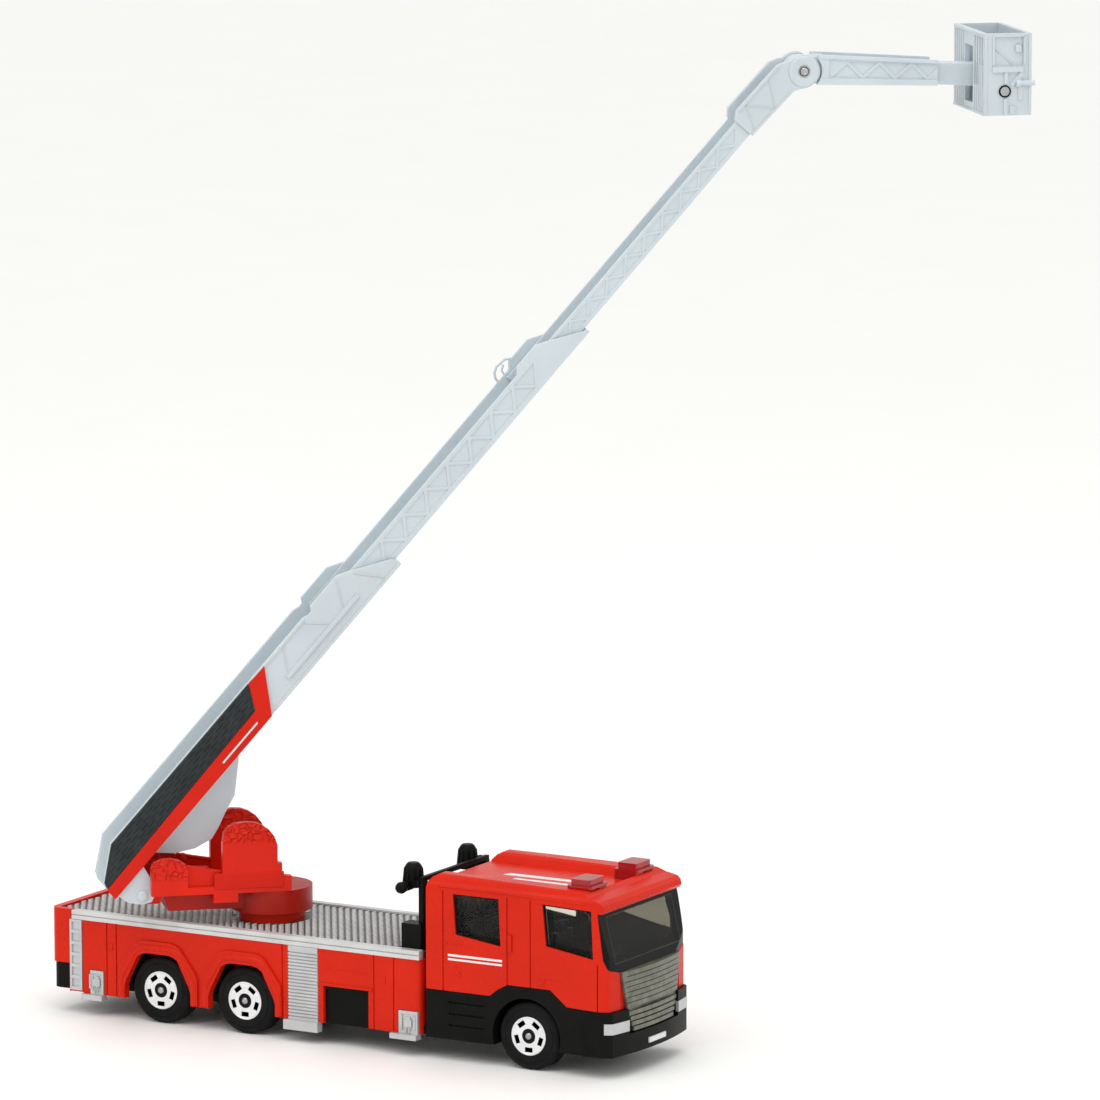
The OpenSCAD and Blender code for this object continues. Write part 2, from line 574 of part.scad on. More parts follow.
module ladder_top() color([0.76, 0.8, 0.82]) along() difference() {
  union() {
    for (s = [-1, 1]) sided(s) {
      slab(top_hw - 0.6, top_hw) polygon([[111, 5.5], [111, 8.9], [172, 8.9], [172, 5.5]]);
      // wider housing at the tip
      slab(top_hw - 0.6, top_hw + 0.5) polygon([[171.2, 5.1], [171.2, 9.2], [172.6, 10.2], [183.4, 9.9],
        [184.8, 9.2], [elbow_x, elbow_z + 2.9], [elbow_x, elbow_z - 2.9], [184, 3.2], [182, 4.6], [177, 4.9]]);
      translate([elbow_x, 0, elbow_z]) rod(2.9, top_hw - 0.6, top_hw + 0.5);
    }
    block(111, 181.8, -top_hw + 0.1, top_hw - 0.1, 5.5, 6.15);
  }
  for (s = [-1, 1]) sided(s) lattice(113, 11, 5, top_hw - 0.12, top_hw + 0.3, 6.2, 8.3, 0.32);
  translate([elbow_x, 0, elbow_z]) rod(0.8, -6, 6);
}

module elbow_pin() color([0.6, 0.6, 0.62]) along() translate([elbow_x, 0, elbow_z]) {
  rod(0.8, -top_hw - 0.5, top_hw + 0.5);
  for (s = [-1, 1]) sided(s) rod(0.98, top_hw + 0.5, top_hw + 0.7);
}

// ---- tip arm and basket ----

module tip_arm() color([0.76, 0.8, 0.82]) arm_frame() difference() {
  union() {
    // tongue between the ladder's ears
    rod(2.5, -2.5, 2.5);
    block(0, 4.6, -2.5, 2.5, -2.2, 2.5);
    difference() {
      union() {
        block(2.6, 4.6, -3.5, 3.5, -2.2, 2.6);
        for (s = [-1, 1]) sided(s) {
          slab(2.7, 3.3) polygon([[3, -2.2], [24.4, -1.9], [24.4, 2.4], [3, 2.9]]);
          slab(2.7, 3.6) polygon([[2.6, 2.3], [24.4, 1.9], [24.4, 2.5], [2.6, 3]]);
          slab(2.7, 3.6) polygon([[2.6, -2.35], [24.4, -2], [24.4, -1], [2.6, -1.2]]);
        }
        slab(-3.3, 3.3) polygon([[3, -2.25], [24.4, -1.95], [24.4, -1.3], [3, -1.6]]);
      }
      rod(3.35, -5, -2.55);
      rod(3.35, 2.55, 5);
      for (s = [-1, 1]) sided(s) lattice(4.9, 3, 5.9, 3.13, 3.4, -0.9, 1.8, 0.4);
    }
    // reach into the basket
    slab(-2.2, 2.2) polygon([[23.6, -1.9], [32.6, -2], [34.3, -3.5], [36.2, -2.6], [36.2, -1.2], [34, 1.9],
      [23.6, 1.9]]);
    translate([pin_reach, 0, -pin_low]) rod(1.5, -2.2, 2.2);
  }
  rod(0.86, -5, 5);
  translate([pin_reach, 0, -pin_low]) rod(0.82, -5, 5);
}

module basket_pin() color([0.45, 0.46, 0.47]) basket_frame() {
  rod(0.75, -basket_hw, basket_hw);
  for (s = [-1, 1]) sided(s) rod(1.05, basket_hw, basket_hw + 0.2);
}

module basket() color([0.76, 0.8, 0.82]) basket_frame() difference() {
  union() {
    difference() {
      block(-3.8, 4.85, -basket_hw, basket_hw, -4.3, 10.2);
      block(-3, 4.05, -basket_hw + 0.8, basket_hw - 0.8, -3.4, 11);
    }
    // ledge, stay and lower stub on each flank
    for (s = [-1, 1]) sided(s) {
      block(-2.3, 3.3, basket_hw - 0.1, basket_hw + 0.45, 3.4, 4.3);
      block(-0.1, 0.45, basket_hw - 0.1, basket_hw + 0.35, 1.3, 3.5);
      block(-0.2, 0.4, basket_hw - 0.1, basket_hw + 0.35, -4.2, -1.3);
      slab(basket_hw - 0.1, basket_hw + 0.3) polygon([[0.9, 1.2], [1.4, 0.9], [3.5, 2.8], [3, 3.6]]);
    }
    // water monitor on the right flank
    translate([2.2, -basket_hw - 0.1, 1.4]) rotate([0, 90, 0]) cylinder(r = 0.5, h = 3.2);
    translate([2, -basket_hw - 0.1, 1.4]) rotate([0, 90, 0]) cylinder(r = 0.7, h = 0.9);
  }
  // sunk field on each flank
  for (s = [-1, 1]) sided(s) block(-1.8, 3.3, basket_hw - 0.3, basket_hw + 1, 4.5, 9.5);
  // way in for the arm
  block(-5, -2.9, -2.7, 2.7, -2.7, 7.4);
  // slotted field of the rear wall
  for (i = [0:3]) block(-5, -2.9, -9.4 + i * 1.6, -8.5 + i * 1.6, 0.8, 9.4);
  rod(0.75, -basket_hw - 2, basket_hw + 2);
}

chassis_base();
rear_body();
deck_plate();
turntable_rivet();
base_rivets();
rear_ladder_right();
rear_ladder_left();
rear_locker_right();
rear_locker_left();
shutter_right();
shutter_left();
front_locker_right();
front_locker_left();
cab_shell();
cab_glazing();
cab_interior();
grille();
headlamp_right();
headlamp_left();
number_plate();
beacon_right();
beacon_left();
ladder_rest();
axle_rear();
wheel_rear_right();
wheel_rear_left();
cover_rear_right();
cover_rear_left();
axle_mid();
wheel_mid_right();
wheel_mid_left();
cover_mid_right();
cover_mid_left();
axle_front();
wheel_front_right();
wheel_front_left();
cover_front_right();
cover_front_left();
turntable_disc();
turntable_frame();
elevation_pin();
ladder_base();
panel_right();
panel_left();
tread_right();
tread_left();
ladder_mid();
ladder_top();
elbow_pin();
tip_arm();
basket_pin();
basket();
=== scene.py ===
import math
import bpy
import bmesh
from mathutils import Matrix, Vector


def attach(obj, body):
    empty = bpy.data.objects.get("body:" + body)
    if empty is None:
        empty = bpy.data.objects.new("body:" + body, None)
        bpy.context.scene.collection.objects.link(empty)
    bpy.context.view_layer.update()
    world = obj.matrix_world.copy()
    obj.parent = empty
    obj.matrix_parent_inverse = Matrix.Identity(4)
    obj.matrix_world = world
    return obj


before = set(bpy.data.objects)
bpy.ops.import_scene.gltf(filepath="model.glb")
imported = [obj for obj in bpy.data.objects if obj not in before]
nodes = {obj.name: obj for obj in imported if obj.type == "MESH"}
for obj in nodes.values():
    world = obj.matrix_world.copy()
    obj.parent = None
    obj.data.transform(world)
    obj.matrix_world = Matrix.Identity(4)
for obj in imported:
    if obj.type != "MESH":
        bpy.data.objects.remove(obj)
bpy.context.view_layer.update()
MM = 0.001
RED = (0.60, 0.016, 0.0035)

# the pose at rest: turntable, ladder and tip arm
SLEW = math.radians(42)
ELEVATION = math.radians(48.3)
DROP = math.radians(50.9)

# the part's origin, in millimetres ahead of the rearmost axle and over the ground
ORIGIN_X = 45
ORIGIN_Z = 3.9
TABLE_X = 15
ELBOW = (185.7, 0, 5.6)
AXLES = {"rear_wheelset": 0, "mid_wheelset": 17.5, "front_wheelset": 75}

# frames in millimetres: the truck from its rearmost axle and the ground, the turntable,
# the ladder from its pin, the arm from the elbow, the basket from its pin
TRUCK = Matrix.Scale(MM, 4) @ Matrix.Translation((-ORIGIN_X, 0, -ORIGIN_Z))
TABLE = TRUCK @ Matrix.Translation((TABLE_X, 0, 0)) @ Matrix.Rotation(SLEW, 4, "Z")
LADDER = TABLE @ Matrix.Translation((-23.9, 0, 24.1)) @ Matrix.Rotation(-ELEVATION, 4, "Y")
ARM = LADDER @ Matrix.Translation(ELBOW) @ Matrix.Rotation(DROP, 4, "Y")
BASKET = ARM @ Matrix.Translation((34.9, 0, -2.1)) @ Matrix.Rotation(ELEVATION - DROP, 4, "Y")


def at_x(x):
    """a place along the truck, in metres of the shared frame"""
    return (x - ORIGIN_X) * MM


def at_z(z):
    """a height over the ground, in metres of the shared frame"""
    return (z - ORIGIN_Z) * MM


def soften(ob, width, angle):
    """a small round on the sharp edges of a piece, its width in millimetres"""
    bev = ob.modifiers.new("edge", "BEVEL")
    bev.width = width * MM
    bev.segments = 2
    bev.limit_method = "ANGLE"
    bev.angle_limit = math.radians(angle)


# ---------------------------------------------------------------- materials


class Mat:
    """A small builder for node materials."""

    def __init__(self, name):
        self.m = bpy.data.materials.new(name)
        self.m.use_nodes = True
        self.t = self.m.node_tree
        self.b = next(n for n in self.t.nodes if n.type == "BSDF_PRINCIPLED")
        self.coord = self.t.nodes.new("ShaderNodeTexCoord").outputs["Object"]
        self.height = None

    def node(self, kind, **values):
        n = self.t.nodes.new(kind)
        for k, v in values.items():
            if k in n.inputs:
                n.inputs[k].default_value = v
            else:
                setattr(n, k, v)
        return n

    def link(self, a, b):
        self.t.links.new(a, b)

    def noise(self, scale, detail=3.0, rough=0.5, stretch=None):
        n = self.node("ShaderNodeTexNoise", Scale=scale, Detail=detail, Roughness=rough)
        if stretch:
            mp = self.node("ShaderNodeMapping")
            mp.inputs["Scale"].default_value = stretch
            self.link(self.coord, mp.inputs["Vector"])
            self.link(mp.outputs[0], n.inputs["Vector"])
        else:
            self.link(self.coord, n.inputs["Vector"])
        return n.outputs[0]

    def ramp(self, fac, stops):
        r = self.node("ShaderNodeValToRGB")
        e = r.color_ramp.elements
        while len(e) < len(stops):
            e.new(0.5)
        for el, (p, c) in zip(e, stops):
            el.position = p
            el.color = (*c, 1)
        self.link(fac, r.inputs[0])
        return r.outputs[0]

    def math(self, op, a, b=None):
        n = self.node("ShaderNodeMath", operation=op)
        for i, v in enumerate((a, b)):
            if v is None:
                continue
            if isinstance(v, (int, float)):
                n.inputs[i].default_value = v
            else:
                self.link(v, n.inputs[i])
        return n.outputs[0]

    def tint(self, base, amount, scale=160):
        """a colour with soft mottling of the given amount"""
        dark = tuple(c * (1 - amount) for c in base)
        light = tuple(min(1, c * (1 + amount)) for c in base)
        return self.ramp(self.noise(scale, 4.0), [(0.3, dark), (0.7, light)])

    def colour(self, base, amount, scale=160):
        self.link(self.tint(base, amount, scale), self.b.inputs["Base Color"])
        return self

    def reach(self, direction):
        """how far a point lies along a direction, in metres from the origin"""
        n = self.node("ShaderNodeVectorMath", operation="DOT_PRODUCT")
        n.inputs[1].default_value = direction
        self.link(self.coord, n.inputs[0])
        return n.outputs["Value"]

    def above(self, value, edge, soft=0.00012):
        """0 where value is under the edge, 1 where it is over"""
        n = self.node("ShaderNodeMapRange", interpolation_type="SMOOTHSTEP",
                      **{"From Min": edge - soft, "From Max": edge + soft})
        self.link(value, n.inputs["Value"])
        return n.outputs[0]

    def mix(self, factor, a, b):
        """colour a where factor is 0, b where it is 1"""
        n = self.node("ShaderNodeMix", data_type="RGBA")
        for socket, value in ((n.inputs[0], factor), (n.inputs[6], a), (n.inputs[7], b)):
            self.link(value, socket)
        return n.outputs[2]

    def rough(self, lo, hi, scale=300):
        f = self.noise(scale, 4.0, 0.6)
        self.link(self.ramp(f, [(0.3, (lo,) * 3), (0.7, (hi,) * 3)]), self.b.inputs["Roughness"])
        return self

    def bump(self, height, strength, distance):
        n = self.node("ShaderNodeBump", Strength=strength, Distance=distance)
        self.link(height, n.inputs["Height"])
        if self.height is not None:
            self.link(self.height, n.inputs["Normal"])
        self.height = n.outputs[0]
        self.link(self.height, self.b.inputs["Normal"])
        return self

    def set(self, **values):
        for k, v in values.items():
            self.b.inputs[k.replace("_", " ")].default_value = v
        return self


def red_paint():
    m = Mat("red_enamel").colour(RED, 0.06, 90).rough(0.2, 0.32, 260)
    m.bump(m.noise(420, 2.0), 0.06, 0.0004).bump(m.noise(2600, 2.0), 0.03, 0.0001)
    return m.set(IOR=1.22).m


def cab_paint():
    """red enamel outside; inside the cab the bare casting, painted near black as shade"""
    m = Mat("cab_enamel").rough(0.2, 0.32, 260)
    y = m.math("ABSOLUTE", m.reach((0, 1, 0)))
    # how far the bowed front falls back at this distance from the middle
    bow = m.math("MULTIPLY", m.math("MULTIPLY", y, y), 1 / (124 * MM))
    slope = 0.2585
    # beyond the side walls, over the roof, ahead of the bowed and the sloping front, behind the rear wall
    outside = m.above(y, 12.95 * MM)
    for edge in (m.above(m.reach((0, 0, 1)), at_z(30.3)),
                 m.above(m.math("ADD", m.reach((1, 0, 0)), bow), at_x(91.6)),
                 m.above(m.reach((1, 0, slope)), at_x(90.95) + slope * 14.4 * MM),
                 m.above(m.reach((-1, 0, 0)), -at_x(55.7))):
        outside = m.math("MAXIMUM", outside, edge)
    # inside the cab: near-black painted shade over the bare casting; outside: red enamel
    m.link(m.mix(outside, m.tint((0.012, 0.011, 0.011), 0.2, 400), m.tint(RED, 0.06, 90)),
           m.b.inputs["Base Color"])
    m.bump(m.noise(420, 2.0), 0.06, 0.0004).bump(m.noise(2600, 2.0), 0.03, 0.0001)
    return m.set(IOR=1.22).m


def red_plastic():
    m = Mat("red_moulded").colour((0.62, 0.014, 0.004), 0.07, 120).rough(0.3, 0.42, 300)
    m.bump(m.noise(520, 3.0), 0.12, 0.0003)
    return m.set(IOR=1.24, Subsurface_Weight=0.06, Subsurface_Radius=(0.004, 0.001, 0.0006),
                 Subsurface_Scale=0.3).m


def turntable_red():
    """red plastic whose rounded tops carry a crumpled moulded relief"""
    m = Mat("red_relief").colour((0.66, 0.015, 0.004), 0.07, 120).rough(0.28, 0.4, 300)
    height = m.reach((0, 0, 1))
    back = m.reach((-math.cos(SLEW), -math.sin(SLEW), 0))
    tower_top = m.above(height, 29.6 * MM, 0.0008)
    console = m.math("MULTIPLY", m.above(back, 38.2 * MM), m.above(height, 23.4 * MM, 0.0006))
    folds = m.node("ShaderNodeTexVoronoi", feature="DISTANCE_TO_EDGE", Scale=720.0)
    bent = m.node("ShaderNodeVectorMath", operation="MULTIPLY_ADD")
    wobble = m.node("ShaderNodeTexNoise", Scale=260.0, Detail=2.0)
    m.link(m.coord, wobble.inputs["Vector"])
    m.link(wobble.outputs["Color"], bent.inputs[0])
    bent.inputs[1].default_value = (0.004, 0.004, 0.004)
    m.link(m.coord, bent.inputs[2])
    m.link(bent.outputs[0], folds.inputs["Vector"])
    crest = m.ramp(folds.outputs["Distance"], [(0.0, (1, 1, 1)), (0.22, (0, 0, 0))])
    relief = m.math("MULTIPLY", crest, m.math("MAXIMUM", tower_top, console))
    m.bump(relief, 0.9, 0.0003).bump(m.noise(520, 3.0), 0.1, 0.0003)
    return m.set(IOR=1.26, Subsurface_Weight=0.06, Subsurface_Radius=(0.004, 0.001, 0.0006),
                 Subsurface_Scale=0.3).m


def disc_red_painted_shade():
    """the turntable plate's red, darkened as painted shade on its side"""
    m = Mat("red_disc_painted_shade").colour((0.36, 0.009, 0.003), 0.07, 120).rough(0.3, 0.42, 300)
    m.bump(m.noise(520, 3.0), 0.12, 0.0003)
    return m.set(IOR=1.3).m


def black_plastic():
    m = Mat("black_moulded").colour((0.005, 0.005, 0.0048), 0.25, 200).rough(0.32, 0.46, 320)
    m.bump(m.noise(900, 3.0), 0.1, 0.0002)
    return m.set(IOR=1.17).m


def silver_paint():
    m = Mat("silver_paint").colour((0.52, 0.525, 0.53), 0.08, 260).rough(0.3, 0.46, 520)
    m.bump(m.noise(3800, 2.0), 0.08, 0.0001)
    return m.set(Metallic=0.4, Specular_IOR_Level=0.4).m


def deck_paint():
    """silver paint over the tread plate, with painted shade darkening it down between the lozenges"""
    m = Mat("deck_paint").rough(0.3, 0.48, 520)
    # the rails along both edges stay bright
    rail = m.above(m.math("ABSOLUTE", m.reach((0, 1, 0))), 12.62 * MM)
    raised = m.math("MAXIMUM", rail, m.above(m.reach((0, 0, 1)), at_z(18.47), 0.00005))
    # low parts between the lozenges: near-black painted shade; raised tops and rails: silver
    m.link(m.mix(raised, m.tint((0.07, 0.07, 0.067), 0.15, 300), m.tint((0.60, 0.605, 0.60), 0.08, 260)),
           m.b.inputs["Base Color"])
    m.bump(m.noise(3800, 2.0), 0.08, 0.0001)
    return m.set(Metallic=0.3, Specular_IOR_Level=0.4).m


def steel():
    m = Mat("drawn_steel").colour((0.42, 0.42, 0.43), 0.1, 300).rough(0.25, 0.42, 700)
    m.bump(m.noise(1500, 2.0, 0.5, (1, 12, 1)), 0.08, 0.0001)
    return m.set(Metallic=1.0).m


def ladder_grey():
    m = Mat("ladder_grey").colour((0.56, 0.62, 0.655), 0.04, 80).rough(0.36, 0.48, 260)
    m.bump(m.noise(700, 3.0), 0.07, 0.0002)
    return m.set(Specular_IOR_Level=0.3, Subsurface_Weight=0.2, Subsurface_Radius=(0.002, 0.0025, 0.003),
                 Subsurface_Scale=0.5).m


def smoked():
    """smoked clear plastic with a black printed border round the windscreen; its top band and wrapped sides
    also carry painted shade under the visor and on the dark corner glass
    """
    m = Mat("smoked_clear").rough(0.02, 0.05, 200)
    y = m.math("ABSOLUTE", m.reach((0, 1, 0)))
    x = m.reach((1, 0, 0))
    z = m.reach((0, 0, 1))
    front = m.above(x, at_x(88.35))
    # the border runs down both sides, along the top and along the foot; along the top and down the sides it
    # is partly painted shade
    edge = m.math("MAXIMUM", m.above(y, 11.35 * MM), m.above(z, at_z(28)))
    low = m.above(m.reach((0, 0, -1)), -at_z(20))
    edge = m.math("MULTIPLY", front, m.math("MAXIMUM", edge, low))
    clear = m.mix(front, m.tint((0.82, 0.80, 0.73), 0.03, 60), m.tint((0.21, 0.20, 0.165), 0.05, 60))
    m.link(m.mix(edge, clear, m.tint((0.004, 0.004, 0.004), 0.2, 300)), m.b.inputs["Base Color"])
    m.link(m.math("SUBTRACT", 1.0, edge), m.b.inputs["Transmission Weight"])
    m.bump(m.noise(300, 2.0), 0.03, 0.0002)
    return m.set(IOR=1.22).m


def grille_paint():
    m = Mat("grille_paint").colour((0.15, 0.15, 0.118), 0.3, 700).rough(0.3, 0.45, 600)
    m.bump(m.noise(2600, 2.0), 0.2, 0.0002)
    return m.set(Metallic=0.45).m


def white_paint():
    m = Mat("white_paint").colour((0.74, 0.75, 0.75), 0.05, 300).rough(0.28, 0.4, 600)
    m.bump(m.noise(3000, 2.0), 0.05, 0.0001)
    return m.set(Specular_IOR_Level=0.3).m


def red_clear():
    m = Mat("red_clear").colour((0.50, 0.004, 0.008), 0.12, 400).rough(0.08, 0.16, 500)
    return m.set(Transmission_Weight=0.35, IOR=1.45).m


def tyre():
    m = Mat("tyre").colour((0.0075, 0.0075, 0.0075), 0.3, 500).rough(0.5, 0.66, 600)
    m.bump(m.noise(1800, 3.0), 0.1, 0.0002)
    return m.set(IOR=1.2).m


def hub_paint():
    m = Mat("hub_paint").colour((0.78, 0.79, 0.80), 0.05, 500).rough(0.24, 0.36, 700)
    m.bump(m.noise(2800, 2.0), 0.05, 0.0001)
    return m.set(Metallic=0.25).m


def tread_print():
    m = Mat("tread_print").colour((0.026, 0.031, 0.032), 0.2, 400).rough(0.34, 0.48, 500)
    m.bump(m.noise(1500, 2.0), 0.1, 0.0002)
    return m.set(IOR=1.25).m


mats = {f.__name__: f() for f in (red_paint, cab_paint, red_plastic, turntable_red, disc_red_painted_shade,
                                  black_plastic, silver_paint, deck_paint, steel, ladder_grey, smoked,
                                  grille_paint, white_paint, red_clear, tyre, hub_paint, tread_print)}


# the finish of each CAD node, by the beginning of its name
FINISHES = {"chassis": "black_plastic", "cab_interior": "black_plastic", "ladder_rest": "black_plastic",
            "rear_body": "red_paint", "cab_shell": "cab_paint", "turntable_frame": "turntable_red",
            "turntable_disc": "disc_red_painted_shade", "panel": "red_plastic", "deck_plate": "deck_paint",
            "cover": "hub_paint", "rear_ladder": "silver_paint", "rear_locker": "silver_paint",
            "shutter": "silver_paint", "front_locker": "silver_paint", "headlamp": "silver_paint",
            "turntable_rivet": "steel", "base_rivets": "steel", "elbow_pin": "steel",
            "basket_pin": "steel", "axle": "steel", "cab_glazing": "smoked", "grille": "grille_paint",
            "number_plate": "white_paint", "beacon": "red_clear", "wheel": "tyre", "tread": "tread_print"}


def finish_of(name):
    return next((finish for start, finish in FINISHES.items() if name.startswith(start)), "ladder_grey")


SOFT_EDGE = {"rear_body": 0.25, "cab_shell": 0.35, "turntable_frame": 0.3, "turntable_disc": 0.25,
             "ladder_base": 0.18, "ladder_mid": 0.12, "ladder_top": 0.12, "tip_arm": 0.12, "basket": 0.15,
             "chassis_base": 0.2, "ladder_rest": 0.25, "cab_glazing": 0.12, "beacon_right": 0.2,
             "beacon_left": 0.2}

for name, ob in nodes.items():
    ob.data.materials.clear()
    ob.data.materials.append(mats[finish_of(name)])
    soften(ob, SOFT_EDGE.get(name, 0.06), 35)

# ---------------------------------------------------------------- moulded details


class Piece:
    """A moulded detail, drawn in millimetres in one of the frames and carried by one body."""

    def __init__(self, name, place, finish, body, soft=0.05):
        self.name, self.place, self.finish, self.body, self.soft = name, place, finish, body, soft
        self.side = 1
        self.bm = bmesh.new()

    def sides(self):
        """draw on the right, then mirrored on the left"""
        for self.side in (-1, 1):
            yield self.side
        self.side = 1

    def skin(self, rings):
        """a closed solid over rings of equal length"""
        vs = [[self.bm.verts.new((x, y * self.side, z)) for x, y, z in ring] for ring in rings]
        for a, b in zip(vs, vs[1:]):
            for i in range(len(a)):
                j = (i + 1) % len(a)
                self.bm.faces.new((a[i], a[j], b[j], b[i]))
        self.bm.faces.new(vs[0][::-1])
        self.bm.faces.new(vs[-1])

    def box(self, x0, x1, y0, y1, z0, z1):
        self.skin([[(x0, y0, z), (x1, y0, z), (x1, y1, z), (x0, y1, z)] for z in (z0, z1)])

    def slab(self, outline, y0, y1):
        """an outline in X and Z, given thickness in Y"""
        self.skin([[(x, y, z) for x, z in outline] for y in (y0, y1)])

    def plate(self, outline, z0, z1):
        """an outline in X and Y, given thickness in Z"""
        self.skin([[(x, y, z) for x, y in outline] for z in (z0, z1)])

    def strip(self, a, b, width, y0, y1):
        """a straight rib between two points of a flank"""
        (x0, z0), (x1, z1) = a, b
        n = math.hypot(x1 - x0, z1 - z0) / (width / 2)
        dx, dz = (z0 - z1) / n, (x1 - x0) / n
        self.slab([(x0 + dx, z0 + dz), (x0 - dx, z0 - dz), (x1 - dx, z1 - dz), (x1 + dx, z1 + dz)], y0, y1)

    def turned(self, profile, centre, steps=36):
        """a body turned on a line along Y, from (radius, height) pairs"""
        cx, cy, cz = centre
        turns = [(math.cos(math.tau * i / steps), math.sin(math.tau * i / steps)) for i in range(steps)]
        self.skin([[(cx + r * u, cy + h, cz + r * v) for u, v in turns] for r, h in profile])

    def rod(self, path, r, steps=12):
        """a round rod along a path"""
        path = [Vector(p) for p in path]
        across = (path[-1] - path[0]).orthogonal().normalized()
        rings = []
        for i, p in enumerate(path):
            t = (path[min(i + 1, len(path) - 1)] - path[max(i - 1, 0)]).normalized()
            u = (across - across.dot(t) * t).normalized()
            v = t.cross(u)
            turns = [math.tau * k / steps for k in range(steps)]
            rings.append([tuple(p + r * (math.cos(turn) * u + math.sin(turn) * v)) for turn in turns])
        self.skin(rings)

    def done(self, smooth=35):
        bmesh.ops.recalc_face_normals(self.bm, faces=self.bm.faces)
        me = bpy.data.meshes.new(self.name)
        self.bm.to_mesh(me)
        self.bm.free()
        me.transform(self.place)
        me.materials.append(mats[self.finish])
        me.shade_smooth()
        me.set_sharp_from_angle(angle=math.radians(smooth))
        ob = bpy.data.objects.new(self.name, me)
        bpy.context.collection.objects.link(ob)
        if self.soft:
            soften(ob, self.soft, 40)
        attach(ob, self.body)


def deck_lozenges():
    """the tread plate: staggered rows of low hipped lozenges across the truck"""
    p = Piece("deck_lozenges", TRUCK, "deck_paint", "truck", 0)
    pitch_x, pitch_y, base, top, taper = 0.69, 1.82, 18.38, 18.54, 0.72
    lean = math.radians(82)
    ux, uy = math.cos(lean), math.sin(lean)
    shape = ((0.85, 0), (0.4, 0.26), (-0.4, 0.26), (-0.85, 0), (-0.4, -0.26), (0.4, -0.26))
    for i in range(-4, 110):
        for j in range(-7, 8):
            y = (j + 0.5 * (i % 2)) * pitch_y
            x = -20.4 + i * pitch_x + y * ux / uy
            under_table = math.hypot(x - TABLE_X, y) < 6.9
            under_rest = x > 48.2 and abs(y) > 8.2
            if not -21.2 < x < 53 or abs(y) > 11.9 or under_table or under_rest:
                continue
            foot = [(x + ux * a - uy * b, y + uy * a + ux * b) for a, b in shape]
            p.skin([[(*q, base) for q in foot],
                    [(x + taper * (q[0] - x), y + taper * (q[1] - y), top) for q in foot]])
    p.done(25)


def cab_details():
    p = Piece("cab_beads", TRUCK, "red_paint", "truck", 0.06)
    for _ in p.sides():
        # crease under the roof rail
        p.rod([(57.4, 13.93, 30.75), (70, 13.93, 30.7), (86.5, 13.93, 30.35)], 0.14, 8)
        # latches moulded into the doors
        for x, z in ((60.6, 15.3), (77.2, 15.2)):
            p.box(x, x + 1.5, 13.9, 14.1, z, z + 1.4)
            p.box(x + 0.35, x + 1.15, 14.0, 14.22, z + 0.35, z + 1.05)
        p.rod([(60.2, 13.98, 20.9), (64.5, 13.98, 20.7)], 0.09, 8)
        p.rod([(79.3, 13.98, 16.6), (82.6, 13.98, 16.5)], 0.09, 8)
        p.box(58.7, 59.3, 13.9, 14.12, 20.6, 21.0)
    p.done()
    p = Piece("window_frames", TRUCK, "black_plastic", "truck", 0.04)
    outlines = (((60.45, 29.55), (69.45, 29.55), (69.85, 21.35), (60.95, 22.55)),
                ((78.25, 29.55), (87.75, 29.25), (88.15, 20.95), (78.95, 22.35)))
    for _ in p.sides():
        for outline in outlines:
            for a, b in zip(outline, outline[1:] + outline[:1]):
                cx, cz = sum(q[0] for q in outline) / 4, sum(q[1] for q in outline) / 4
                inner = [(q[0] + (cx - q[0]) * 0.05, q[1] + (cz - q[1]) * 0.06) for q in (a, b)]
                p.slab([a, b, inner[1], inner[0]], 13.3, 13.75)
    # corner tabs of the visor over the windscreen
    for _ in p.sides():
        p.box(86.9, 87.5, 12.2, 13.6, 28.9, 29.5)
    p.done()
    p = Piece("roof_stripes", TRUCK, "white_paint", "truck", 0)
    for x0, x1, y in ((66, 79.5, -3.6), (63, 77, -0.4)):
        p.plate([(x0, y - 0.8), (x1, y - 0.8), (x1 + 0.6, y + 0.8), (x0 + 0.6, y + 0.8)], 30.95, 31.05)
    p.done()
    p = Piece("side_stripes", TRUCK, "white_paint", "truck", 0)
    for _ in p.sides():
        p.slab([(59.4, 18.6), (70.2, 18.6), (70.2, 19.0), (59.4, 19.0)], 13.95, 14.03)
        p.slab([(59.4, 17.9), (70.2, 17.9), (70.2, 18.25), (59.4, 18.25)], 13.95, 14.03)
    p.done()
    p = Piece("front_marks", TRUCK, "red_paint", "truck", 0.05)
    for _ in p.sides():
        p.slab([(90.1, 13.6), (90.45, 13.6), (90.45, 16.1), (90.1, 16.1)], 12.0, 13.15)
    p.done()


def rest_details():
    p = Piece("rest_ribs", TRUCK, "black_plastic", "truck", 0.08)
    for _ in p.sides():
        # tapered ribs round the bulbs
        for k in range(11):
            c, s = math.cos(math.tau * k / 11), math.sin(math.tau * k / 11)
            rings = []
            for z, r0, r1, w0, w1 in ((29.1, 1.2, 1.92, 0.34, 0.3), (29.9, 1.2, 1.92, 0.34, 0.3),
                                      (32.3, 1.0, 1.68, 0.26, 0.24), (33.1, 0.6, 1.2, 0.16, 0.16)):
                corners = ((r0, -w0), (r1, -w1), (r1, w1), (r0, w0))
                rings.append([(49.7 + c * r - s * w, 9.25 + s * r + c * w, z) for r, w in corners])
            p.skin(rings)
        # ball on the outer end of each ear
        p.turned([(0.3, -1.1), (0.75, -0.85), (1.0, -0.3), (1.05, 0.1), (0.9, 0.6), (0.5, 0.95), (0.1, 1.05)],
                 (49.8, 13.5, 29.55))
    p.done()


